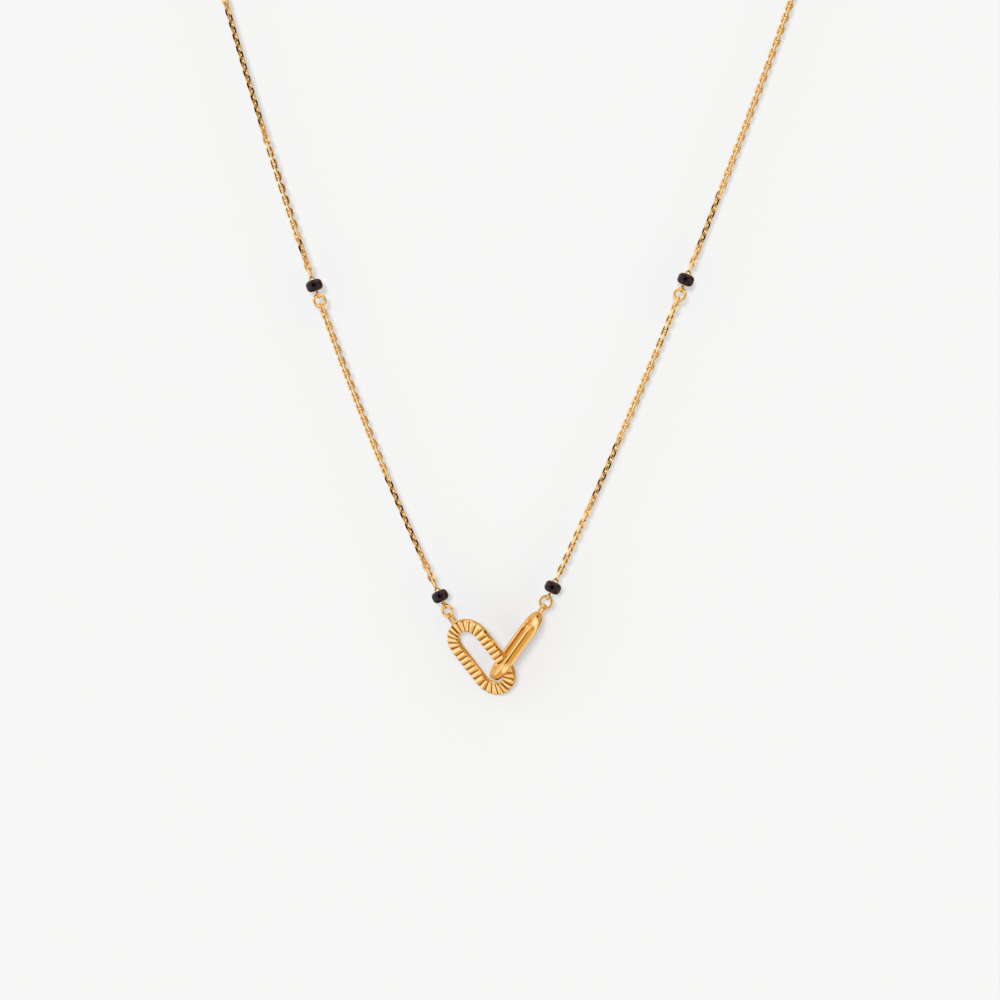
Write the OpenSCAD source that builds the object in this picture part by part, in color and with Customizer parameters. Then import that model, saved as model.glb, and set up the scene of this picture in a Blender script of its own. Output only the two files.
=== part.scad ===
// Fine gold necklace with four black beads and two interlocked long links at the front.
// It hangs in the XZ plane as on a neck. The front faces -Y and the nape is the origin.

/* [Chain] */
// Distance from the middle of one chain link to the middle of the next
link_pitch = 0.95; // [0.85:0.05:1.2]
// Thickness of the chain's wire
link_wire = 0.27; // [0.2:0.01:0.3]
// Room that one link leaves its neighbour, on each side
link_play = 0.11; // [0.1:0.01:0.14]
// Length of each chain between a lower and an upper bead
lower_chain_len = 45.6; // [20:0.1:60]
// Length of the upper chains that is made link by link
upper_chain_len = 43.7; // [20:0.1:50]
// Thickness of the plain stretch that stands for the chain at the back of the neck
back_chain_d = 1.0; // [0.8:0.05:1.2]

/* [Jump rings] */
// Outer diameter of the four round jump rings
ring_d = 2.25; // [2:0.05:2.8]
// Thickness of their wire
ring_wire = 0.42; // [0.3:0.01:0.5]

/* [Beads] */
// Diameter of a bead
bead_d = 2.5; // [2:0.1:3.5]
// Length of a bead along its pin
bead_len = 1.72; // [1.5:0.02:2.6]
// Radius of a bead's shoulders
bead_round = 0.68; // [0.3:0.02:0.72]
// Thickness of the wire of a bead's pin
pin_wire = 0.25; // [0.2:0.01:0.3]
// Bare wire between a bead and the eyes of its pin
pin_neck = 0.1; // [0.05:0.01:0.3]

/* [Front links] */
// Width of both front links
front_w = 7.25; // [6:0.05:9]
// Width of the fluted link's band
fluted_band = 1.8; // [1.5:0.02:2]
// Width of the polished link's band
polished_band = 1.56; // [1.3:0.02:1.8]
// Length of the fluted link
fluted_len = 13.05; // [11:0.05:18]
// Thickness of the fluted link
fluted_t = 1.04; // [0.8:0.02:1.2]
// Distance between two flutes along a straight side
flute_pitch = 0.9; // [0.7:0.05:1.4]
// Width of the cut between two flutes
flute_w = 0.44; // [0.3:0.02:0.5]
// Depth of the cut between two flutes
flute_depth = 0.2; // [0.1:0.01:0.3]
// Flutes around each round end
end_flutes = 10; // [8:1:11]
// Length of the polished link
polished_len = 12.2; // [11:0.05:18]
// Thickness of the polished link
polished_t = 1.32; // [1:0.02:1.4]
// Radius of the polished link's edges
polished_edge = 0.28; // [0.1:0.01:0.3]
// Thickness of the wire of the eyes soldered to the front links
eye_wire = 0.3; // [0.25:0.01:0.35]
// How far the eye stands out of the fluted link
fluted_eye_out = 1.84; // [1.6:0.01:2.4]
// How far the eye stands out of the polished link
polished_eye_out = 1.57; // [1.4:0.01:2.2]
// Depth to which both eyes are let into the links
eye_sink = 0.38; // [0.3:0.01:0.5]
// Depth of the pocket round the eye of the polished link
pocket_depth = 0.26; // [0.15:0.01:0.28]
// Turn of the polished link's eye out of the plane of the link
polished_eye_turn = -48; // [-50:1:-42]

/* [Clasp] */
// Length of the clasp's barrel
clasp_len = 6; // [4:0.5:12]
// Diameter of the clasp's barrel
clasp_d = 2.2; // [1.6:0.1:3]
// Thickness of the wire of the clasp's eyes
clasp_wire = 0.4; // [0.3:0.02:0.5]
// Distance from the middle of a clasp eye's hole to the middle of its wire
clasp_eye_r = 0.62; // [0.58:0.01:0.8]

/* [Hang] */
// Lean of the fluted link from upright
fluted_lean = 37.6; // [30:0.2:42]
// Turn of the fluted link about its length
fluted_turn = 38; // [34:1:42]
// How far the foot of the fluted link tips back
fluted_tip = 4; // [0:1:8]
// Lean of the polished link from upright
polished_lean = 35.6; // [30:0.2:42]
// Turn of the polished link about its length
polished_turn = 81.8; // [76:0.2:84]
// How far below its middle the fluted link is hooked
hook_drop = 2.95; // [2.8:0.05:3.3]
// Gap between the two front links where one hooks the other
hook_gap = 0.31; // [0.3:0.01:0.4]
// Slope from upright of the left side where it leaves its lower ring
left_slope = 25.8; // [20:0.2:30]
// Slope from upright of the right side where it leaves its lower ring
right_slope = 25.2; // [20:0.2:30]
// Tension over weight of the left side: more makes it straighter
left_pull = 66; // [50:1:200]
// Tension over weight of the right side
right_pull = 143; // [50:1:300]
// Length that hangs free before the chain bends round the neck
hang_len = 119; // [105:1:150]
// Turn of the lower right ring away from the front
right_ring_turn = 12; // [10:1:20]
// Turn of the upper left and upper right rings away from the front
upper_ring_turn = 26; // [0:1:40]

/* [Hidden] */
$fn = 24;
gold = "goldenrod";
black = "#1c1418";

// Small sizes that follow from those above.
wire_gap = 0.1;
fit_gap = 0.06;
bore_gap = 0.1;
link_in_len = link_pitch + link_play;
link_in_w = max(link_wire + 2 * (link_play + 0.025), ring_wire + 2 * fit_gap);
link_end = (link_in_len + link_wire) / 2;
ring_r = (ring_d - ring_wire) / 2;
pin_low_r = ring_wire / 2 + wire_gap + pin_wire / 2;
pin_up_r = link_wire / 2 + wire_gap + pin_wire / 2 + 0.01;
eye_in_w = ring_wire + 2 * (wire_gap + fit_gap);
fluted_in = front_w / 2 - fluted_band;
lower_links = round(lower_chain_len / link_pitch);
upper_links = round(upper_chain_len / link_pitch);

// Stations along one side, measured from the middle of its lower ring.
pin_eye_s = ring_r;
bead_s = pin_eye_s + pin_low_r + pin_wire / 2 + pin_neck + bead_len / 2;
up_eye_s = bead_s + bead_len / 2 + pin_neck / 2 + pin_wire / 2 + pin_up_r;
first_link_s = up_eye_s + pin_up_r - (pin_wire + link_wire) / 2 - wire_gap + link_end;
upper_ring_s = first_link_s + (lower_links - 1) * link_pitch + link_end
    + ring_r - (ring_wire + link_wire) / 2 - wire_gap;
upper_first_s = upper_ring_s + first_link_s;
upper_last_s = upper_first_s + (upper_links - 1) * link_pitch;

// The place where the two front links meet is the middle of this layout.
// Each link's frame has its length along Z, its width along X and its front towards -Y.
function turn_x(p, a) = [p.x, p.y * cos(a) - p.z * sin(a), p.y * sin(a) + p.z * cos(a)];
function turn_y(p, a) = [p.x * cos(a) + p.z * sin(a), p.y, p.z * cos(a) - p.x * sin(a)];
function turn_z(p, a) = [p.x * cos(a) - p.y * sin(a), p.x * sin(a) + p.y * cos(a), p.z];
function turned(p, turn, tip, lean) = turn_y(turn_x(turn_z(p, turn), -tip), lean);

// A lower ring lies on the top of the eye that holds it and leans with its side.
function ring_seat(eye_out) = eye_out - eye_wire - ring_wire / 2 - wire_gap;
fluted_hook = [fluted_in, -fluted_t / 2, -hook_drop];
polished_hook = [0, 0, hook_gap + polished_band - polished_len / 2];
fluted_seat = [0, 0, fluted_len / 2 + ring_seat(fluted_eye_out)];
polished_seat = [0, 0, polished_len / 2 + ring_seat(polished_eye_out)];
fluted_mid = -turned(fluted_hook, -fluted_turn, -fluted_tip, -fluted_lean);
fluted_ring = fluted_mid + turned(fluted_seat, -fluted_turn, -fluted_tip, -fluted_lean)
    + ring_r * [-sin(left_slope), 0, cos(left_slope)];
plane_y = fluted_ring.y;
// The polished link tips so that both lower rings hang in one plane.
polished_tip = asin(plane_y / (polished_seat.z - polished_hook.z));
polished_mid = -turned(polished_hook, -polished_turn, polished_tip, polished_lean);
polished_ring = polished_mid + turned(polished_seat, -polished_turn, polished_tip, polished_lean)
    + ring_r * [sin(right_slope), 0, cos(right_slope)];

// A side is [direction, start x, start z, slope at the start, pull].
// It hangs as a catenary up to hang_len and then bends round the neck in one arc.
left = [-1, fluted_ring.x, fluted_ring.z, left_slope, left_pull];
right = [1, polished_ring.x, polished_ring.z, right_slope, right_pull];
function arc_sinh(v) = ln(v + sqrt(v * v + 1));
function steep(side, s) = 1 / tan(side[3]) + s / side[4];
function hang_x(side, s) = side[1]
    + side[0] * side[4] * (arc_sinh(steep(side, s)) - arc_sinh(steep(side, 0)));
function hang_z(side, s) = side[2]
    + side[4] * (sqrt(1 + pow(steep(side, s), 2)) - sqrt(1 + pow(steep(side, 0), 2)));
function hang_slope(side, s) = atan(1 / steep(side, s));
left_end_slope = hang_slope(left, hang_len);
right_end_slope = hang_slope(right, hang_len);
gap_x = hang_x(right, hang_len) - hang_x(left, hang_len);
gap_z = hang_z(right, hang_len) - hang_z(left, hang_len);
left_rise = 1 + sin(left_end_slope);
right_rise = 1 + sin(right_end_slope);
left_neck_r = (gap_x + cos(right_end_slope) * gap_z / right_rise)
    / (cos(left_end_slope) + cos(right_end_slope) * left_rise / right_rise);
right_neck_r = (left_neck_r * left_rise - gap_z) / right_rise;
function neck_r(side) = side[0] < 0 ? left_neck_r : right_neck_r;
function bend(side, s) = (s - hang_len) / neck_r(side) * 180 / PI;
function slope(side, s) = s <= hang_len ? hang_slope(side, s)
    : hang_slope(side, hang_len) - bend(side, s);
function route_x(side, s) = s <= hang_len ? hang_x(side, s)
    : hang_x(side, hang_len)
        + side[0] * neck_r(side) * (cos(slope(side, s)) - cos(hang_slope(side, hang_len)));
function route_z(side, s) = s <= hang_len ? hang_z(side, s)
    : hang_z(side, hang_len)
        + neck_r(side) * (sin(hang_slope(side, hang_len)) - sin(slope(side, s)));
function side_len(side) = hang_len + neck_r(side) * (90 + hang_slope(side, hang_len)) * PI / 180;
top_x = route_x(left, side_len(left));
top_z = route_z(left, side_len(left));
nape = [top_x, plane_y, top_z - clasp_d / 2];

// Stations of the clasp's eyes and of the plain stretches at the back.
clasp_eye_in = clasp_len / 2 + clasp_eye_r - clasp_wire / 4;
back_start_s = upper_last_s + link_end + link_wire / 2 + wire_gap;
function back_end_s(side) = side_len(side) - clasp_eye_in - clasp_eye_r - clasp_wire / 2 - wire_gap;

// Puts a piece on a side at station s, its length along the chain and turned about it.
module on_side(side, s, turn) {
    translate([route_x(side, s), plane_y, route_z(side, s)])
        rotate([0, side[0] * slope(side, s), 0])
            rotate([0, 0, turn])
                children();
}

// Puts a front link in its place.
module hung(mid, turn, tip, lean) {
    translate(mid)
        rotate([0, lean, 0])
            rotate([-tip, 0, 0])
                rotate([0, 0, turn])
                    children();
}

// An oblong loop of wire in the XZ plane, its length along Z.
module wire_loop(in_len, in_w, wire) {
    mean_r = (in_w + wire) / 2;
    straight = in_len - in_w;
    for (side = [-1, 1])
        translate([side * mean_r, 0, 0])
            cylinder(h = straight, d = wire, center = true);
    for (flip = [0, 180])
        rotate([0, flip, 0])
            translate([0, 0, straight / 2])
                rotate([90, 0, 0])
                    rotate_extrude(angle = 180)
                        translate([mean_r, 0])
                            circle(d = wire);
}

// A round ring of wire in the XZ plane.
module wire_ring(mean_r, wire) {
    rotate([90, 0, 0])
        rotate_extrude()
            translate([mean_r, 0])
                circle(d = wire);
}

// The outline of a front link, in the XY plane with its length along Y.
module oblong(len, w) {
    square([w, len - w], center = true);
    for (end = [-1, 1])
        translate([0, end * (len - w) / 2])
            circle(d = w, $fn = 96);
}

// One cut between two flutes, along X from the inner to the outer edge of the band.
module flute_cut() {
    over = 0.2;
    translate([fluted_in - over, 0, 0])
        rotate([90, 0, 90])
            linear_extrude(fluted_band + 2 * over)
                polygon([[-flute_w, flute_depth], [flute_w, flute_depth], [0, -flute_depth]]);
}

// All cuts on the front face of the fluted link.
module flutes() {
    straight = fluted_len - front_w;
    per_side = floor(straight / flute_pitch);
    step = 180 / end_flutes;
    for (flip = [0, 180])
        rotate([0, 0, flip]) {
            for (i = [0 : per_side - 1])
                translate([0, (i - (per_side - 1) / 2) * flute_pitch, 0])
                    flute_cut();
            translate([0, straight / 2, 0])
                for (i = [0 : end_flutes - 1])
                    rotate([0, 0, (i + 0.5) * step])
                        flute_cut();
        }
}

module fluted_link() {
    eye_len = fluted_eye_out + eye_sink - 2 * eye_wire;
    color(gold)
        translate(-nape)
            hung(fluted_mid, -fluted_turn, -fluted_tip, -fluted_lean)
                union() {
                    rotate([90, 0, 0])
                        difference() {
                            linear_extrude(fluted_t, center = true)
                                difference() {
                                    oblong(fluted_len, front_w);
                                    oblong(fluted_len - 2 * fluted_band, 2 * fluted_in);
                                }
                            translate([0, 0, fluted_t / 2])
                                flutes();
                        }
                    translate([0, 0, (fluted_len + fluted_eye_out - eye_sink) / 2])
                        rotate([0, 0, 90])
                            wire_loop(eye_len, eye_in_w, eye_wire);
                }
}

// A rectangle with round corners.
module rounded(w, h, r) {
    square([w - 2 * r, h], center = true);
    square([w, h - 2 * r], center = true);
    for (x = [-1, 1])
        for (y = [-1, 1])
            translate([x * (w / 2 - r), y * (h / 2 - r)])
                circle(r = r);
}

// Cross-section of the polished band.
module polished_section() {
    rounded(polished_band, polished_t, polished_edge);
}

module polished_link() {
    eye_len = polished_eye_out + eye_sink - 2 * eye_wire;
    straight = polished_len - front_w;
    mean_r = (front_w - polished_band) / 2;
    color(gold)
        translate(-nape)
            hung(polished_mid, -polished_turn, polished_tip, polished_lean)
                union() {
                    difference() {
                        union() {
                            for (side = [-1, 1])
                                translate([side * mean_r, 0, 0])
                                    linear_extrude(straight, center = true)
                                        polished_section();
                            for (flip = [0, 180])
                                rotate([0, flip, 0])
                                    translate([0, 0, straight / 2])
                                        rotate([90, 0, 0])
                                            rotate_extrude(angle = 180, $fn = 96)
                                                translate([mean_r, 0])
                                                    polished_section();
                        }
                        translate([0, 0, polished_len / 2 - pocket_depth])
                            cylinder(h = 1, d = polished_t - 0.24);
                    }
                    translate([0, 0, (polished_len + polished_eye_out - eye_sink) / 2])
                        rotate([0, 0, polished_eye_turn])
                            wire_loop(eye_len, eye_in_w, eye_wire);
                }
}

module jump_ring(side, s, turn) {
    color(gold)
        translate(-nape)
            on_side(side, s, turn)
                wire_ring(ring_r, ring_wire);
}

// A bead's pin: its wire, the lower eye round a jump ring and the upper eye round a link.
module pin(side, ring_s, low_turn) {
    low = pin_low_r;
    up = up_eye_s - pin_eye_s;
    color(gold)
        translate(-nape)
            on_side(side, ring_s + pin_eye_s, 0)
                union() {
                    rotate([0, 0, low_turn])
                        wire_ring(pin_low_r, pin_wire);
                    translate([0, 0, low])
                        cylinder(h = up - pin_up_r - low, d = pin_wire);
                    translate([0, 0, up])
                        wire_ring(pin_up_r, pin_wire);
                }
}

module bead(side, ring_s) {
    bore_r = pin_wire / 2 + bore_gap;
    color(black)
        translate(-nape)
            on_side(side, ring_s + bead_s, 0)
                rotate_extrude($fn = 64)
                    intersection() {
                        rounded(bead_d, bead_len, bead_round);
                        translate([bore_r, -bead_len])
                            square([bead_d, 2 * bead_len]);
                    }
}

// Turn of link i. The first link is square to the eye below it, and after turn_in links
// each link stands at 45 degrees to the front. The last link turns to end_turn.
turn_in = 4;
turn_out = 9;
function nearest_half_turn(a) = a - 180 * round(a / 180);
function link_turn(i, n, end_turn) =
    let (even = 90 + 90 * i - 45 * min(i, turn_in) / turn_in)
    let (last = 90 * n - 45)
    let (rest = is_undef(end_turn) ? 0 : nearest_half_turn(end_turn - last))
    even + rest * max(0, i - (n - 1 - turn_out)) / turn_out;

module chain(side, first_s, n, end_turn) {
    color(gold)
        translate(-nape)
            for (i = [0 : n - 1])
                on_side(side, first_s + i * link_pitch, link_turn(i, n, end_turn))
                    wire_loop(link_in_len, link_in_w, link_wire);
}

// The chain at the back of the neck as a plain round strand.
module back_chain(side) {
    sides = 8;
    rings = 38;
    first = back_start_s;
    step = (back_end_s(side) - first) / (rings - 1);
    points = [for (i = [0 : rings - 1])
        let (s = first + i * step)
        let (out = slope(side, s))
        for (j = [0 : sides - 1])
            let (a = (j + 0.5) * 360 / sides)
            let (r = back_chain_d / 2)
            [route_x(side, s) + side[0] * r * cos(a) * cos(out),
             plane_y + side[0] * r * sin(a),
             route_z(side, s) - r * cos(a) * sin(out)]];
    walls = [for (i = [0 : rings - 2]) for (j = [0 : sides - 1])
        let (k = (j + 1) % sides)
        [i * sides + j, (i + 1) * sides + j, (i + 1) * sides + k, i * sides + k]];
    start_cap = [for (j = [0 : sides - 1]) j];
    end_cap = [for (j = [sides - 1 : -1 : 0]) (rings - 1) * sides + j];
    color(gold)
        translate(-nape)
            polyhedron(points, concat(walls, [start_cap, end_cap]), convexity = 4);
}

// A plain barrel clasp across the nape with an eye at each end.
module clasp() {
    color(gold)
        translate([0, 0, clasp_d / 2])
            union() {
                rotate([0, 90, 0])
                    cylinder(h = clasp_len, d = clasp_d, center = true, $fn = 48);
                for (end = [-1, 1])
                    translate([end * clasp_eye_in, 0, 0])
                        wire_ring(clasp_eye_r, clasp_wire);
            }
}

fluted_ring_turn = -fluted_turn;
polished_ring_turn = -right_ring_turn;

fluted_link();
polished_link();
jump_ring(left, 0, fluted_ring_turn);  // ring_lower_left
jump_ring(right, 0, polished_ring_turn);  // ring_lower_right
jump_ring(left, upper_ring_s, upper_ring_turn);  // ring_upper_left
jump_ring(right, upper_ring_s, -upper_ring_turn);  // ring_upper_right
pin(left, 0, fluted_ring_turn + 90);  // pin_lower_left
pin(right, 0, polished_ring_turn + 90);  // pin_lower_right
pin(left, upper_ring_s, upper_ring_turn + 90);  // pin_upper_left
pin(right, upper_ring_s, 90 - upper_ring_turn);  // pin_upper_right
bead(left, 0);  // bead_lower_left
bead(right, 0);  // bead_lower_right
bead(left, upper_ring_s);  // bead_upper_left
bead(right, upper_ring_s);  // bead_upper_right
chain(left, first_link_s, lower_links, upper_ring_turn + 90);  // chain_lower_left
chain(right, first_link_s, lower_links, 90 - upper_ring_turn);  // chain_lower_right
chain(left, upper_first_s, upper_links);  // chain_upper_left
chain(right, upper_first_s, upper_links);  // chain_upper_right
back_chain(left);  // back_chain_left
back_chain(right);  // back_chain_right
clasp();
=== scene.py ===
import math

import bpy
import numpy as np
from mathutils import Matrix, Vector


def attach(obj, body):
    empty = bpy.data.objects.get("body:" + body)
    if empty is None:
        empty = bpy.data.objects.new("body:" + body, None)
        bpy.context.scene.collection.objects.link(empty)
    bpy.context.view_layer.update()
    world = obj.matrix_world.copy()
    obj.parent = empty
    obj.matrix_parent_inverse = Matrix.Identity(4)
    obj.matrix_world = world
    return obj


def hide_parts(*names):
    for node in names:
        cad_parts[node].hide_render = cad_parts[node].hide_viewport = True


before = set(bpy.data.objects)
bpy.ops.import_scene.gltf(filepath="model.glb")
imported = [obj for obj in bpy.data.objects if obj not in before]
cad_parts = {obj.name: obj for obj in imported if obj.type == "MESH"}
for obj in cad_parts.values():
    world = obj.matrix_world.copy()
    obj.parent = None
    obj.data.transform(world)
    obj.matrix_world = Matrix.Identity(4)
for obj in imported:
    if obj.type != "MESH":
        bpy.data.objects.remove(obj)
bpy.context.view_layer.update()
scene = bpy.context.scene
scene.view_settings.view_transform = "Standard"


# Studio: the necklace hangs just in front of a pale board, over a pale floor.
# The camera looks straight at it through a long lens, and the picture spans 150 mm.
# Wide soft lamps stand left and above, with warm and dark cards in between them.
picture_width = 0.150
picture_middle = Vector((-0.00367, 0.0, -0.15973))
camera_lens = 120.0
camera_sensor = 36.0
camera_distance = picture_width * camera_lens / camera_sensor
key_power = 1.9
key_spread = 10
key_way = Vector((0.42, 4.5, -0.48))
ground_seen = (0.93, 0.93, 0.93, 1)
paper_grain = 900
paper_tone = (0.495, 0.505)

camera_data = bpy.data.cameras.new("camera")
camera_data.lens = camera_lens
camera_data.sensor_width = camera_sensor
camera_data.clip_start = 0.01
camera_data.clip_end = 10.0
camera = bpy.data.objects.new("camera", camera_data)
scene.collection.objects.link(camera)
camera.location = picture_middle + Vector((0, -camera_distance, 0))
camera.rotation_euler = (math.radians(90), 0, 0)
scene.camera = camera

world = bpy.data.worlds.new("studio")
scene.world = world
world.use_nodes = True
world_nodes = world.node_tree.nodes
world_links = world.node_tree.links
world_nodes.clear()
ray_way = world_nodes.new("ShaderNodeTexCoord")


def facing(direction, start, full):
    """0 to 1 as a ray turns towards a direction: start and full are in degrees from it."""
    dot = world_nodes.new("ShaderNodeVectorMath")
    dot.operation = "DOT_PRODUCT"
    world_links.new(ray_way.outputs["Generated"], dot.inputs[0])
    dot.inputs[1].default_value = Vector(direction).normalized()
    ramp = world_nodes.new("ShaderNodeMapRange")
    ramp.interpolation_type = "SMOOTHSTEP"
    world_links.new(dot.outputs["Value"], ramp.inputs["Value"])
    ramp.inputs["From Min"].default_value = math.cos(math.radians(start))
    ramp.inputs["From Max"].default_value = math.cos(math.radians(full))
    return ramp.outputs["Result"]


def painted(under, mask, colour):
    """A card or a lamp of one colour laid over what is painted so far."""
    mix = world_nodes.new("ShaderNodeMix")
    mix.data_type = "RGBA"
    world_links.new(mask, mix.inputs[0])
    if isinstance(under, tuple):
        mix.inputs[6].default_value = under
    else:
        world_links.new(under, mix.inputs[6])
    mix.inputs[7].default_value = colour
    return mix.outputs[2]


# Each row is the way to a wall, a lamp or a card, and how far from there it starts
# and is full, in degrees. A row lies over the rows before it.
studio = (0.66, 0.47, 0.24, 1)
for direction, start, full, colour in (
    ((1, 0.25, 0.1), 36, 22, (0.50, 0.30, 0.11, 1)),
    ((-0.25, 0.95, 0.15), 30, 16, (0.80, 0.56, 0.26, 1)),
    ((0, -1, 0), 62, 36, (0.98, 0.84, 0.60, 1)),
    ((-0.1, -0.05, -1), 48, 26, (0.78, 0.52, 0.24, 1)),
    ((-0.2, 0.3, 0.95), 26, 14, (1.10, 0.98, 0.78, 1)),
    ((-1, -0.2, -0.3), 39, 29, (1.14, 1.12, 1.10, 1)),
    ((0.35, -0.45, 1), 40, 28, (1.35, 1.33, 1.28, 1)),
    ((1, -0.9, 0.1), 42, 14, (1.20, 1.08, 0.90, 1)),
    ((-0.85, -0.05, 0.55), 28, 16, (1.25, 1.20, 1.05, 1)),
    ((0.87, -0.1, -0.5), 28, 16, (1.10, 1.00, 0.85, 1)),
    ((0, -0.6, -0.8), 24, 14, (1.20, 1.15, 1.05, 1)),
    ((0.05, 0.7, -0.9), 28, 20, (0.10, 0.04, 0.006, 1)),
    ((-0.70, 0.55, 0.42), 24, 12, (1.15, 1.08, 1.00, 1)),
    ((-0.68, -0.48, 0.56), 22, 12, (1.12, 1.02, 0.80, 1)),
    ((0.45, -0.82, 0.35), 20, 10, (0.62, 0.38, 0.15, 1)),
    ((0.18, -0.98, 0.06), 33, 5, (0.74, 0.48, 0.16, 1)),
    ((-0.20, -0.97, 0.05), 24, 15, (0.02, 0.007, 0.001, 1)),
    ((-0.2, -0.55, 1), 12, 8, (0.10, 0.04, 0.008, 1)),
):
    studio = painted(studio, facing(direction, start, full), colour)
lit = world_nodes.new("ShaderNodeBackground")
world_links.new(studio, lit.inputs["Color"])
seen = world_nodes.new("ShaderNodeBackground")
seen.inputs["Color"].default_value = ground_seen
path = world_nodes.new("ShaderNodeLightPath")
swap = world_nodes.new("ShaderNodeMixShader")
world_links.new(path.outputs["Is Camera Ray"], swap.inputs["Fac"])
world_links.new(lit.outputs[0], swap.inputs[1])
world_links.new(seen.outputs[0], swap.inputs[2])
world_out = world_nodes.new("ShaderNodeOutputWorld")
world_links.new(swap.outputs[0], world_out.inputs["Surface"])

key_data = bpy.data.lights.new("key_lamp", "SUN")
key_data.energy = key_power
key_data.angle = math.radians(key_spread)
key_lamp = bpy.data.objects.new("key_lamp", key_data)
scene.collection.objects.link(key_lamp)
key_lamp.rotation_euler = key_way.to_track_quat("-Z", "Y").to_euler()
key_lamp.visible_glossy = False


def paper(name, own_light):
    """Pale paper that only the camera sees, and only from its front."""
    material = bpy.data.materials.new(name)
    material.use_nodes = True
    nodes = material.node_tree.nodes
    links = material.node_tree.links
    nodes.clear()
    sheet_place = nodes.new("ShaderNodeTexCoord")
    grain = nodes.new("ShaderNodeTexNoise")
    grain.inputs["Scale"].default_value = paper_grain
    links.new(sheet_place.outputs["Object"], grain.inputs["Vector"])
    tone = nodes.new("ShaderNodeMapRange")
    links.new(grain.outputs["Fac"], tone.inputs["Value"])
    tone.inputs["To Min"].default_value = paper_tone[0]
    tone.inputs["To Max"].default_value = paper_tone[1]
    matt = nodes.new("ShaderNodeBsdfDiffuse")
    links.new(tone.outputs["Result"], matt.inputs["Color"])
    glow = nodes.new("ShaderNodeEmission")
    glow.inputs["Color"].default_value = own_light
    both = nodes.new("ShaderNodeAddShader")
    links.new(matt.outputs[0], both.inputs[0])
    links.new(glow.outputs[0], both.inputs[1])
    side_seen = nodes.new("ShaderNodeNewGeometry")
    seen_by = nodes.new("ShaderNodeLightPath")
    hidden = nodes.new("ShaderNodeMath")
    hidden.operation = "SUBTRACT"
    hidden.inputs[0].default_value = 1.0
    links.new(seen_by.outputs["Is Camera Ray"], hidden.inputs[1])
    unseen = nodes.new("ShaderNodeMath")
    unseen.operation = "MAXIMUM"
    links.new(hidden.outputs[0], unseen.inputs[0])
    links.new(side_seen.outputs["Backfacing"], unseen.inputs[1])
    clear = nodes.new("ShaderNodeBsdfTransparent")
    one_sided = nodes.new("ShaderNodeMixShader")
    links.new(unseen.outputs[0], one_sided.inputs["Fac"])
    links.new(both.outputs[0], one_sided.inputs[1])
    links.new(clear.outputs[0], one_sided.inputs[2])
    paper_out = nodes.new("ShaderNodeOutputMaterial")
    links.new(one_sided.outputs[0], paper_out.inputs["Surface"])
    return material


for name, size, place, turn, own_light in (
    ("backdrop", 0.6, (0, 0.0045, -0.12), (90, 0, 0), (0.188, 0.246, 0.322, 1)),
    ("floor", 3.0, (0, 0, -0.27), (0, 0, 0), (0.402, 0.464, 0.537, 1)),
):
    data = bpy.data.meshes.new(name)
    far = size / 2
    data.from_pydata([(-far, -far, 0), (far, -far, 0), (far, far, 0), (-far, far, 0)], [], [(0, 1, 2, 3)])
    sheet = bpy.data.objects.new(name, data)
    scene.collection.objects.link(sheet)
    sheet.location = place
    sheet.rotation_euler = [math.radians(angle) for angle in turn]
    data.materials.append(paper(name + "_paper", own_light))


# Fluted link: a flat gold band bent into a long link and soldered shut.
# Its front is cut across into rounded ribs, and its back and edges are plain.
# A soldered eye at the top holds the lower left ring. Sizes are in millimetres.
front_w = 7.25
fluted_len = 13.05
fluted_band = 1.8
fluted_t = 1.04
flute_pitch = 0.9
flutes_per_side = 6
end_flutes = 10
flute_drop = 0.17
rib_round = 1.7
groove_drop = 0.09
groove_round = 9
# Painted shade: the front of each rib turns towards dark brown on the stretch nearest each groove. This
# stands in for the shade and dark reflections that the narrow grooves catch.
groove_shade_from = 0.66
groove_shade_colour = (0.42, 0.16, 0.02, 1)
back_edge = 0.1
back_curl = 0.03
eye_wire = 0.42
eye_in_w = 0.50
eye_sink = 0.38
fluted_eye_out = 1.84
fluted_mid = (-6.47852, 0.54096, -183.30324)
fluted_lean = 37.6
fluted_turn = 38.0
fluted_tip = 4.0
# Where a rib has its steps, as shares of the way from one groove to the next.
rib_steps = (0, 0.02, 0.05, 0.09, 0.15, 0.24, 0.36, 0.5, 0.64, 0.76, 0.85, 0.91, 0.95, 0.98)
# Each step across the front is a share of half the band's width, and its drop at the edge.
face_steps = ((-1, 0.16), (-0.985, 0.09), (-0.95, 0.04), (-0.88, 0.01), (-0.6, 0), (-0.2, 0),
              (0.2, 0), (0.6, 0), (0.88, 0.01), (0.95, 0.04), (0.985, 0.09), (1, 0.16))

wear = bpy.data.node_groups.new("metal_wear", "ShaderNodeTree")
for name, kind in (("Colour", "NodeSocketColor"), ("Polish", "NodeSocketFloat")):
    wear.interface.new_socket(name, in_out="INPUT", socket_type=kind)
for name, kind in (
    ("Colour", "NodeSocketColor"), ("Roughness", "NodeSocketFloat"), ("Height", "NodeSocketFloat"),
):
    wear.interface.new_socket(name, in_out="OUTPUT", socket_type=kind)
group_in = wear.nodes.new("NodeGroupInput")
group_out = wear.nodes.new("NodeGroupOutput")
place = wear.nodes.new("ShaderNodeTexCoord")
cloudy = wear.nodes.new("ShaderNodeTexNoise")
cloudy.inputs["Scale"].default_value = 420
cloudy.inputs["Detail"].default_value = 3
wear.links.new(place.outputs["Object"], cloudy.inputs["Vector"])
fine = wear.nodes.new("ShaderNodeTexNoise")
fine.inputs["Scale"].default_value = 2600
fine.inputs["Detail"].default_value = 4
wear.links.new(place.outputs["Object"], fine.inputs["Vector"])
deeper = wear.nodes.new("ShaderNodeHueSaturation")
deeper.inputs["Value"].default_value = 0.86
wear.links.new(group_in.outputs["Colour"], deeper.inputs["Color"])
blend = wear.nodes.new("ShaderNodeMix")
blend.data_type = "RGBA"
wear.links.new(cloudy.outputs["Fac"], blend.inputs[0])
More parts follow.
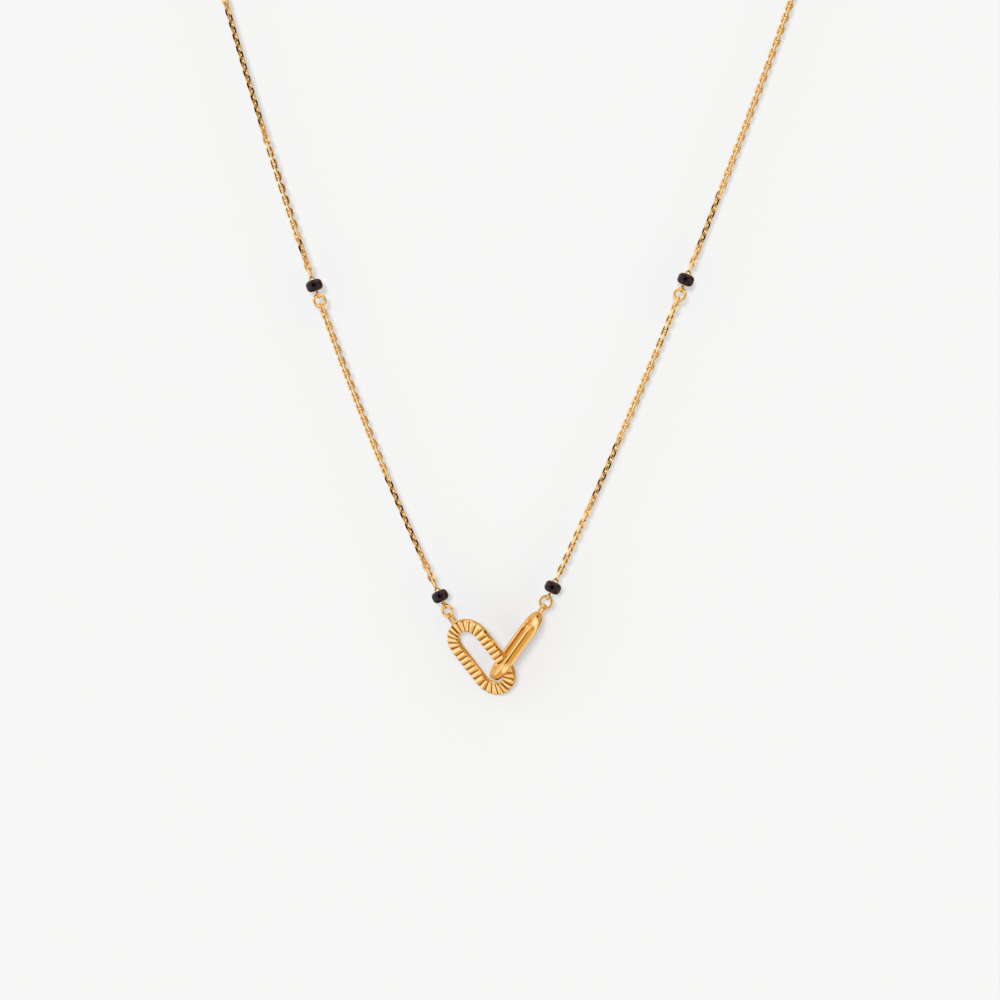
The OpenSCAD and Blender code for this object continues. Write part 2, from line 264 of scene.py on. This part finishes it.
wear.links.new(group_in.outputs["Colour"], blend.inputs[6])
wear.links.new(deeper.outputs["Color"], blend.inputs[7])
wear.links.new(blend.outputs[2], group_out.inputs["Colour"])
spread = wear.nodes.new("ShaderNodeMapRange")
spread.inputs["To Min"].default_value = 0.7
spread.inputs["To Max"].default_value = 1.35
wear.links.new(fine.outputs["Fac"], spread.inputs["Value"])
rough = wear.nodes.new("ShaderNodeMath")
rough.operation = "MULTIPLY"
wear.links.new(spread.outputs["Result"], rough.inputs[0])
wear.links.new(group_in.outputs["Polish"], rough.inputs[1])
wear.links.new(rough.outputs[0], group_out.inputs["Roughness"])
wear.links.new(fine.outputs["Fac"], group_out.inputs["Height"])


def metal(name, colour, polish, bump):
    """A polished metal with cloudy, tarnished patches and fine handling marks."""
    material = bpy.data.materials.new(name)
    material.use_nodes = True
    nodes = material.node_tree.nodes
    links = material.node_tree.links
    shader = nodes["Principled BSDF"]
    shader.inputs["Metallic"].default_value = 1.0
    worn = nodes.new("ShaderNodeGroup")
    worn.node_tree = wear
    worn.inputs["Colour"].default_value = colour
    worn.inputs["Polish"].default_value = polish
    relief = nodes.new("ShaderNodeBump")
    relief.inputs["Strength"].default_value = bump
    relief.inputs["Distance"].default_value = 0.00002
    links.new(worn.outputs["Colour"], shader.inputs["Base Color"])
    links.new(worn.outputs["Roughness"], shader.inputs["Roughness"])
    links.new(worn.outputs["Height"], relief.inputs["Height"])
    links.new(relief.outputs["Normal"], shader.inputs["Normal"])
    return material


def placed(points, where, turn, tip, lean):
    """Points of a piece made upright, turned about Z, tipped about X, leaned about Y and moved."""
    turn, tip, lean = math.radians(turn), math.radians(tip), math.radians(lean)
    about_z = np.array([[math.cos(turn), -math.sin(turn), 0],
                        [math.sin(turn), math.cos(turn), 0], [0, 0, 1]])
    about_x = np.array([[1, 0, 0], [0, math.cos(tip), math.sin(tip)],
                        [0, -math.sin(tip), math.cos(tip)]])
    about_y = np.array([[math.cos(lean), 0, math.sin(lean)], [0, 1, 0],
                        [-math.sin(lean), 0, math.cos(lean)]])
    return points @ (about_y @ about_x @ about_z).T + np.array(where)


def oblong_way(half, radius, along):
    """Points and outward normals of a long link's middle line, at lengths along it."""
    arc = math.pi * radius
    whole = 4 * half + 2 * math.pi * radius
    along = np.asarray(along, float) % whole
    x, z, out_x, out_z = (np.zeros(len(along)) for _ in range(4))
    for i, s in enumerate(along):
        upper = half < s <= half + arc
        lower = s > 3 * half + arc
        if upper or lower:
            angle = (s - half) / radius if upper else math.pi + (s - 3 * half - arc) / radius
            angle = min(angle, 2 * math.pi)
            out_x[i], out_z[i] = math.cos(angle), math.sin(angle)
            x[i] = radius * out_x[i]
            z[i] = radius * out_z[i] + (half if upper else -half)
            if lower and s > 3 * half + 2 * math.pi * radius:
                out_x[i], out_z[i], x[i] = 1, 0, radius
                z[i] = s - whole
        elif s <= half:
            out_x[i], x[i], z[i] = 1, radius, s
        else:
            out_x[i], x[i] = -1, -radius
            z[i] = half - (s - half - arc)
    return x, z, out_x, out_z


def swept(way, section):
    """Rings of points: a section of (outward, backward) pairs carried round a way in XZ."""
    x, z, out_x, out_z = way
    section = np.asarray(section, float)
    if section.ndim == 2:
        section = np.repeat(section[None], len(x), 0)
    outward, backward = section[..., 0], section[..., 1]
    return np.stack([x[:, None] + outward * out_x[:, None], backward,
                     z[:, None] + outward * out_z[:, None]], -1)


def skin(parts):
    """Vertices and faces over lists of rings. A part is (rings, closed)."""
    verts, faces, first = [], [], 0
    for rings, closed in parts:
        rows, columns = rings.shape[:2]
        verts.append(rings.reshape(-1, 3))
        grid = first + np.arange(rows * columns).reshape(rows, columns)
        here = grid if closed else grid[:-1]
        ahead = np.roll(grid, -1, 0) if closed else grid[1:]
        quads = np.stack([here, ahead, np.roll(ahead, -1, 1), np.roll(here, -1, 1)], -1)
        faces.extend(quads.reshape(-1, 4).tolist())
        if not closed:
            faces.append(grid[0].tolist())
            faces.append(grid[-1][::-1].tolist())
        first += rows * columns
    return np.concatenate(verts), faces


def piece(name, parts, material, stands_for, sharp=30):
    """One object of the necklace, from rings in millimetres. Edges over sharp degrees stay crisp."""
    verts, faces = skin(parts)
    data = bpy.data.meshes.new(name)
    data.from_pydata((verts * 0.001).tolist(), [], faces)
    data.shade_smooth()
    data.set_sharp_from_angle(angle=math.radians(sharp))
    data.materials.append(material)
    made = bpy.data.objects.new(name, data)
    scene.collection.objects.link(made)
    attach(made, "root")
    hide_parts(*stands_for)
    return made


def full_turn(steps):
    """Equal angles round a circle."""
    return np.arange(steps) / steps * 2 * math.pi


def round_section(wire, steps):
    """The outline of a round wire."""
    turn = full_turn(steps)
    return np.stack([wire / 2 * np.cos(turn), wire / 2 * np.sin(turn)], -1)


def oblong_steps(half, radius, steps):
    """Lengths along a long link: the middle of each straight side, and steps round each end."""
    arc = math.pi * radius
    end = np.linspace(0, arc, steps)
    return np.concatenate([[0], half + end, [2 * half + arc], 3 * half + arc + end])


def wire_eye(in_len, turn, high):
    """A soldered long eye of round wire, turned about Z, with its middle at a height."""
    half = (in_len - eye_in_w) / 2
    radius = (eye_in_w + eye_wire) / 2
    rings = swept(oblong_way(half, radius, oblong_steps(half, radius, 14)), round_section(eye_wire, 14))
    return placed(rings, (0, 0, 0), turn, 0, 0) + np.array([0, 0, high])


gold = metal("polished_gold", (1.0, 0.70, 0.32, 1), 0.07, 0.12)
fluted_gold = metal("cut_gold", (1.0, 0.72, 0.34, 1), 0.08, 0.08)
# The cut gold is painted darker in its grooves. A mask on the mesh's points mixes its colour towards dark
# brown as painted shade.
fluted_nodes = fluted_gold.node_tree.nodes
fluted_links = fluted_gold.node_tree.links
groove = fluted_nodes.new("ShaderNodeAttribute")
groove.attribute_name = "groove"
groove_shading = fluted_nodes.new("ShaderNodeMix")
groove_shading.data_type = "RGBA"
fluted_links.new(groove.outputs["Fac"], groove_shading.inputs[0])
fluted_links.new(fluted_nodes["Group"].outputs["Colour"], groove_shading.inputs[6])
groove_shading.inputs[7].default_value = groove_shade_colour
fluted_links.new(groove_shading.outputs[2], fluted_nodes["Principled BSDF"].inputs["Base Color"])

half = (fluted_len - front_w) / 2
mean_r = (front_w - fluted_band) / 2
arc = math.pi * mean_r
way_len = 4 * half + 2 * arc
cuts = []
for flip in (0, way_len / 2):
    for i in range(flutes_per_side):
        cuts.append((flip + (i - (flutes_per_side - 1) / 2) * flute_pitch) % way_len)
    for i in range(end_flutes):
        cuts.append(flip + half + (i + 0.5) * arc / end_flutes)
cuts.sort()
# For each point along the band: its place, how far the front sinks, and how much painted groove shade it
# takes.
along, drop, groove_shade_share = [], [], []
for start, stop in zip(cuts, cuts[1:] + [cuts[0] + way_len]):
    for share in rib_steps:
        along.append(start + share * (stop - start))
        off = abs(2 * share - 1)
        drop.append(flute_drop * off ** rib_round + groove_drop * off ** groove_round)
        groove_shade_share.append(max(0, (off - groove_shade_from) / (1 - groove_shade_from)))
half_w = fluted_band / 2
half_t = fluted_t / 2
right = [(half_w, back_edge), (half_w, half_t - back_edge),
         (half_w - back_curl, half_t - back_curl), (half_w - back_edge, half_t)]
back = right + [(-across, depth) for across, depth in right[::-1]]
sections = []
for sunk in drop:
    front = [(share * half_w, -half_t + sunk + edge_drop) for share, edge_drop in face_steps]
    sections.append(front + back)
band = swept(oblong_way(half, mean_r, along), sections)
eye = wire_eye(fluted_eye_out + eye_sink - 2 * eye_wire, 90, (fluted_len + fluted_eye_out - eye_sink) / 2)
parts = [(placed(rings, fluted_mid, -fluted_turn, -fluted_tip, -fluted_lean), True)
         for rings in (band, eye)]
fluted = piece("fluted_front_link", parts, fluted_gold, ["fluted_link"], sharp=24)
# The painted groove shade is kept on the mesh's points, on the front only.
lined = fluted.data.attributes.new("groove", "FLOAT", "POINT")
shade = np.zeros(len(fluted.data.vertices))
on_front = [1.0] * len(face_steps) + [0.0] * len(back)
shade[:len(groove_shade_share) * len(on_front)] = np.outer(groove_shade_share, on_front).ravel()
lined.data.foreach_set("value", shade)


# Polished link: a thick gold band with a domed, mirror-bright outside.
# It is hooked through the fluted link. A pocket in its top holds the soldered eye
# of the lower right ring.
polished_len = 12.2
polished_band = 1.56
polished_t = 1.32
polished_edge = 0.28
polished_dome = 0.06
edge_dome = polished_dome * 0.6
polished_eye_out = 1.57
polished_eye_turn = -48.0
pocket_depth = 0.26
pocket_r = polished_t / 2 - 0.12
pocket_reach = 0.8
polished_mid = (-1.2755, -0.48955, -181.60628)
polished_lean = 35.6
polished_turn = 81.8
polished_tip = 3.97619

half = (polished_len - front_w) / 2
mean_r = (front_w - polished_band) / 2
arc = math.pi * mean_r
along = np.concatenate([
    np.linspace(-half, half, 7)[:-1],
    half + np.linspace(0, arc / 2 - pocket_reach, 16)[:-1],
    half + arc / 2 + np.linspace(-pocket_reach, pocket_reach, 45),
    half + np.linspace(arc / 2 + pocket_reach, arc, 16)[1:],
    half + arc + np.linspace(0, 2 * half, 7)[1:-1],
    3 * half + arc + np.linspace(0, arc, 40)[:-1],
])
half_w = polished_band / 2
half_t = polished_t / 2
face_half = half_t - polished_edge
outer_mid = half_w - edge_dome - polished_edge
inner_mid = -half_w + polished_edge
outer_turns = (0, 16, 34, 52, 70)
inner_turns = (0, 15, 30, 45, 60, 75, 90)
section = [(half_w - polished_dome * (depth / half_t) ** 2, depth)
           for depth in np.linspace(-face_half, face_half, 27)]
for across, outward, backward, turns in (
    (outer_mid, 1, 1, outer_turns[::-1]),
    (inner_mid, -1, 1, inner_turns),
    (inner_mid, -1, -1, inner_turns[::-1]),
    (outer_mid, 1, -1, outer_turns),
):
    for turn in turns:
        angle = math.radians(turn)
        section.append((across + outward * polished_edge * math.sin(angle),
                        backward * (face_half + polished_edge * math.cos(angle))))
band = swept(oblong_way(half, mean_r, along), section)
from_axis = np.hypot(band[..., 0], band[..., 1])
floor_z = polished_len / 2 - pocket_depth
sunk = (band[..., 2] > floor_z) & (from_axis < pocket_r)
band[..., 2] = np.where(sunk, floor_z, band[..., 2])
eye = wire_eye(polished_eye_out + eye_sink - 2 * eye_wire, polished_eye_turn,
               (polished_len + polished_eye_out - eye_sink) / 2)
parts = [(placed(rings, polished_mid, -polished_turn, polished_tip, polished_lean), True)
         for rings in (band, eye)]
piece("polished_front_link", parts, gold, ["polished_link"], sharp=32)


# Jump rings: four closed rings of round gold wire, one at each bead's lower end.
# Each side of the necklace hangs as a chain does and then bends round the neck.
# Everything on a side is placed by its length along it from the middle of the lower ring.
hang_len = 119.0
sides = {
    "left": {"way": -1, "x": -11.5969, "z": -176.35021, "slope": 25.8, "pull": 66.0,
             "neck": 52.14082, "len": 214.082, "lower_turn": -38.0, "upper_turn": 26.0},
    "right": {"way": 1, "x": 3.21399, "z": -175.05169, "slope": 25.2, "pull": 143.0,
              "neck": 49.6789, "len": 213.2347, "lower_turn": -12.0, "upper_turn": -26.0},
}
levels = {"lower": 0.0, "upper": 50.3}
ring_d = 2.25
ring_wire = 0.46


def on_side(side, s):
    """Where the middle line of a side is at s, and its lean from upright there."""
    hung = min(s, hang_len)
    first = 1 / math.tan(math.radians(side["slope"]))
    steep = first + hung / side["pull"]
    x = side["x"] + side["way"] * side["pull"] * (math.asinh(steep) - math.asinh(first))
    z = side["z"] + side["pull"] * (math.hypot(1, steep) - math.hypot(1, first))
    lean = math.atan(1 / steep)
    if s > hang_len:
        bent = lean - (s - hang_len) / side["neck"]
        x += side["way"] * side["neck"] * (math.cos(bent) - math.cos(lean))
        z += side["neck"] * (math.sin(lean) - math.sin(bent))
        lean = bent
    return (x, 0.0, z), side["way"] * math.degrees(lean)


def wire_ring(radius, wire, steps, wire_steps):
    """A closed round ring of round wire in the XZ plane."""
    along = np.linspace(0, 2 * math.pi * radius, steps + 1)[:-1]
    return swept(oblong_way(0, radius, along), round_section(wire, wire_steps))


for name, side in sides.items():
    for level, start in levels.items():
        where, lean = on_side(side, start)
        ring = wire_ring((ring_d - ring_wire) / 2, ring_wire, 64, 20)
        parts = [(placed(ring, where, side[f"{level}_turn"], 0, lean), True)]
        node = f"ring_{level}_{name}"
        piece(f"jump_{node}", parts, gold, [node])


# Pins: the gold wire on which each bead sits, bent into an eye at both ends.
# The lower eye holds a jump ring, and the upper eye holds the first link of a chain.
pin_wire = 0.32
pin_low_r = 0.40
pin_up_r = 0.335
pin_low_s = 0.915
pin_up_s = 3.4474
pin_steps = 14
stem_side = (-0.2, 0.3)


def straight_wire(low, high, wire):
    """Rings of a round wire along Z. The first point of each lies towards stem_side."""
    turn = full_turn(pin_steps) + math.atan2(stem_side[1], stem_side[0])
    ring = np.stack([wire / 2 * np.cos(turn), wire / 2 * np.sin(turn), 0 * turn], -1)
    return np.array([ring + np.array([0, 0, z]) for z in np.linspace(low, high, 6)])


for name, side in sides.items():
    for level, start in levels.items():
        where, lean = on_side(side, start + pin_low_s)
        up = pin_up_s - pin_low_s
        low_eye = wire_ring(pin_low_r, pin_wire, 40, pin_steps)
        low_eye = placed(low_eye, (0, 0, 0), side[f"{level}_turn"] + 90, 0, 0)
        up_eye = wire_ring(pin_up_r, pin_wire, 40, pin_steps) + np.array([0, 0, up])
        stem = straight_wire(pin_low_r, up - pin_up_r, pin_wire)
        parts = [(placed(rings, where, 0, 0, lean), closed)
                 for rings, closed in ((low_eye, True), (up_eye, True), (stem, False))]
        node = f"pin_{level}_{name}"
        piece(f"bead_{node}", parts, gold, [node])


# Beads: four drilled black stones, round-shouldered and polished, a little hollow
# round the drill hole. Each sits loose on its pin.
bead_d = 2.5
bead_len = 1.72
bead_bore = 0.225
bead_round = 0.68
bead_dip = 0.19
bead_lip_r = 0.42
bead_lip = 0.02
bore_edge = 0.05
bead_s = 2.435
stone_scale = 900

stone = bpy.data.materials.new("black_stone")
stone.use_nodes = True
stone_nodes = stone.node_tree.nodes
stone_links = stone.node_tree.links
stone_shader = stone_nodes["Principled BSDF"]
stone_shader.inputs["Specular IOR Level"].default_value = 0.44
stone_shader.inputs["Specular Tint"].default_value = (0.85, 0.72, 1.0, 1)
stone_place = stone_nodes.new("ShaderNodeTexCoord")
stone_cloud = stone_nodes.new("ShaderNodeTexNoise")
stone_cloud.inputs["Scale"].default_value = stone_scale
stone_links.new(stone_place.outputs["Object"], stone_cloud.inputs["Vector"])
stone_tint = stone_nodes.new("ShaderNodeMix")
stone_tint.data_type = "RGBA"
stone_tint.inputs[6].default_value = (0.001, 0.0005, 0.001, 1)
stone_tint.inputs[7].default_value = (0.004, 0.001, 0.004, 1)
stone_links.new(stone_cloud.outputs["Fac"], stone_tint.inputs[0])
stone_links.new(stone_tint.outputs[2], stone_shader.inputs["Base Color"])
stone_rough = stone_nodes.new("ShaderNodeMapRange")
stone_rough.inputs["To Min"].default_value = 0.04
stone_rough.inputs["To Max"].default_value = 0.08
stone_links.new(stone_cloud.outputs["Fac"], stone_rough.inputs["Value"])
stone_links.new(stone_rough.outputs["Result"], stone_shader.inputs["Roughness"])

top = bead_len / 2
upper_half = [(bead_bore, top - bead_dip - bore_edge), (bead_bore + bore_edge, top - bead_dip),
              (bead_lip_r, top - bead_lip)]
for turn in np.linspace(90, 0, 9):
    angle = math.radians(turn)
    upper_half.append((bead_d / 2 - bead_round + bead_round * math.cos(angle),
                       top - bead_round + bead_round * math.sin(angle)))
profile = upper_half + [(r, -z) for r, z in upper_half[::-1]]
bead = np.array([[(r * math.cos(t), r * math.sin(t), z) for r, z in profile] for t in full_turn(48)])
for name, side in sides.items():
    for level, start in levels.items():
        where, lean = on_side(side, start + bead_s)
        parts = [(placed(bead, where, 0, 0, lean), True)]
        node = f"bead_{level}_{name}"
        piece(f"black_{node}", parts, stone, [node], sharp=50)


# Chains: oblong links of gold wire drawn nearly square, each soldered shut and square
# to the next. The finished chain is shaved on four sides, which leaves a flat,
# mirror-bright facet on each side of every link. It turns slowly about its own length.
link_pitch = 0.95
link_wire = 0.36
link_hole_w = 0.40
link_hole_len = 0.97
link_count = {"lower": 48, "upper": 46}
shaved = 0.396
squareness = 7
wire_steps = 28
corner_pull = 0.12
facet_angle = 18
first_link_s = 4.515

cut_link_gold = metal("cut_link_gold", (1.0, 0.74, 0.39, 1), 0.07, 0.12)
half = (link_hole_len - link_hole_w) / 2
radius = (link_hole_w + link_wire) / 2
spin = full_turn(wire_steps)
spin = spin + corner_pull * np.sin(4 * spin)
reach = (np.abs(np.cos(spin)) ** squareness + np.abs(np.sin(spin)) ** squareness) ** (-1 / squareness)
square_wire = np.stack([np.cos(spin) * reach, np.sin(spin) * reach], -1) * link_wire / 2
link = swept(oblong_way(half, radius, oblong_steps(half, radius, 9)), square_wire)
past_cut = np.abs(link[..., 0]) + np.abs(link[..., 1]) - shaved * math.sqrt(2)
cut = np.clip(past_cut, 0, None) / 2
link[..., 0] -= np.sign(link[..., 0]) * cut
link[..., 1] -= np.sign(link[..., 1]) * cut

# For each chain, the numbers of some links and the chain's turn there, in degrees.
twists = {
    "lower_left": ((0, 2, 6, 17, 21, 38, 47), (12, 14, 45, 45, 76, 80, 64)),
    "upper_left": ((0, 8, 21, 25, 42, 46), (10, 82, 98, 133, 137, 160)),
    "lower_right": ((0, 10, 14, 21, 25, 38, 47), (12, 18, 45, 45, 76, 82, 116)),
    "upper_right": ((0, 4, 10, 14, 46), (10, 45, 45, 76, 84)),
}
for name, side in sides.items():
    for level, start in levels.items():
        at, twist = twists[f"{level}_{name}"]
        parts = []
        for i in range(link_count[level]):
            where, lean = on_side(side, start + first_link_s + i * link_pitch)
            turn = 90 + 90 * i - float(np.interp(i, at, twist))
            parts.append((placed(link, where, turn, 0, lean), True))
        node = f"chain_{level}_{name}"
        piece(f"fine_{node}", parts, cut_link_gold, [node], sharp=facet_angle)


# Back of the neck: the same chain runs on to the clasp on both sides.
# Its last links turn little by little until the last one holds the clasp's eye.
clasp_len = 6.0
clasp_d = 2.2
clasp_wire = 0.4
clasp_eye_r = 0.62
clasp_eye_in = clasp_len / 2 + clasp_eye_r - clasp_wire / 4
clasp_link_in = 0.95
turning_links = 8

for name, side in sides.items():
    begin = levels["upper"] + first_link_s + link_count["upper"] * link_pitch
    end = side["len"] - clasp_eye_in - clasp_link_in
    count = round((end - begin) / link_pitch)
    parts = []
    for i in range(count + 1):
        where, lean = on_side(side, begin + i * (end - begin) / count)
        turn = 45 + 90 * i + 45 * max(0, i - count + turning_links) / turning_links
        parts.append((placed(link, where, turn, 0, lean), True))
    piece(f"neck_chain_{name}", parts, cut_link_gold, [f"back_chain_{name}"],
          sharp=facet_angle)


# Clasp: a plain gold barrel with rounded ends, a seam round its middle
# and a soldered eye at each end.
clasp_mid = np.array([0, 0, clasp_d / 2])
# Radii down a rounded end, each with its distance from the end.
end_steps = ((0.001, 0), (0.55, 0), (0.78, 0.04), (0.95, 0.14), (1.06, 0.3), (clasp_d / 2, 0.5))
# Radii into the seam, each with its distance from the barrel's middle.
seam_steps = ((clasp_d / 2, 0.09), (1.07, 0.05), (1.02, 0.03))

left_half = [(r, from_end - clasp_len / 2) for r, from_end in end_steps]
left_half += [(r, -from_mid) for r, from_mid in seam_steps]
profile = left_half + [(r, -x) for r, x in left_half[::-1]]
barrel = np.array([[(x, r * math.cos(t), r * math.sin(t)) for t in full_turn(48)] for r, x in profile])
parts = [(barrel + clasp_mid, False)]
for end in (-1, 1):
    eye = wire_ring(clasp_eye_r, clasp_wire, 48, 16)
    parts.append((eye + clasp_mid + np.array([end * clasp_eye_in, 0, 0]), True))
piece("barrel_clasp", parts, gold, ["clasp"])
